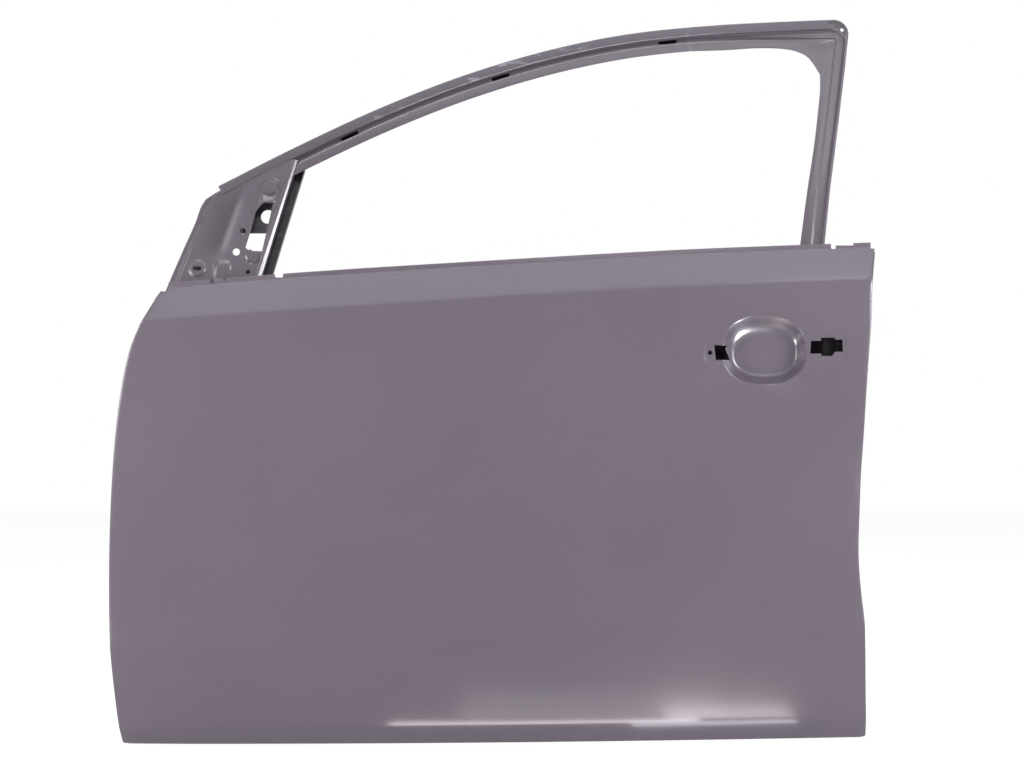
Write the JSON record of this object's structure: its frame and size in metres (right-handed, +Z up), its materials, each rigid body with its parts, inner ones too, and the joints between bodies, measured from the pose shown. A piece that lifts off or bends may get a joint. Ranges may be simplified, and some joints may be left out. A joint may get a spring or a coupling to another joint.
{
  "type": "car door shell",
  "caption": "Bare left front door shell of a small hatchback with its window frame, pressed and hemmed from sheet steel and dipped in grey primer.",
  "frame": {"origin": "middle of the upper hinge pad on the door's front wall", "axes": "+X to the car's rear along the door, +Y into the car, +Z up; the outer skin faces -Y and the hinge pads face -X"},
  "size_m": [1.0854, 0.1978, 1.0469],
  "materials": {
    "primer": "satin grey dip primer over steel sheet",
    "mastic": "matte black mastic",
    "bitumen": "matte black damping sheet"
  },
  "bodies": {
    "root": {"outer_skin": "primer", "inner_panel": "primer", "upper_hinge_reinforcement": "primer", "upper_hinge_nut_1": "primer", "upper_hinge_nut_2": "primer", "lower_hinge_reinforcement": "primer", "lower_hinge_nut_1": "primer", "lower_hinge_nut_2": "primer", "check_strap_reinforcement": "primer", "latch_reinforcement": "primer", "header_outer": "primer", "header_inner": "primer", "rear_pillar_outer": "primer", "rear_pillar_inner": "primer", "front_glass_channel": "primer", "rear_glass_channel": "primer", "mirror_panel": "primer", "mirror_bracket": "primer", "belt_reinforcement_outer": "primer", "belt_reinforcement_inner": "primer", "impact_beam": "primer", "beam_bracket_front": "primer", "beam_bracket_rear": "primer", "mastic_pad_1": "mastic", "mastic_pad_2": "mastic", "mastic_pad_3": "mastic", "mastic_pad_4": "mastic", "damping_sheet": "bitumen", "handle_reinforcement": "primer"}
  },
  "joints": []
}
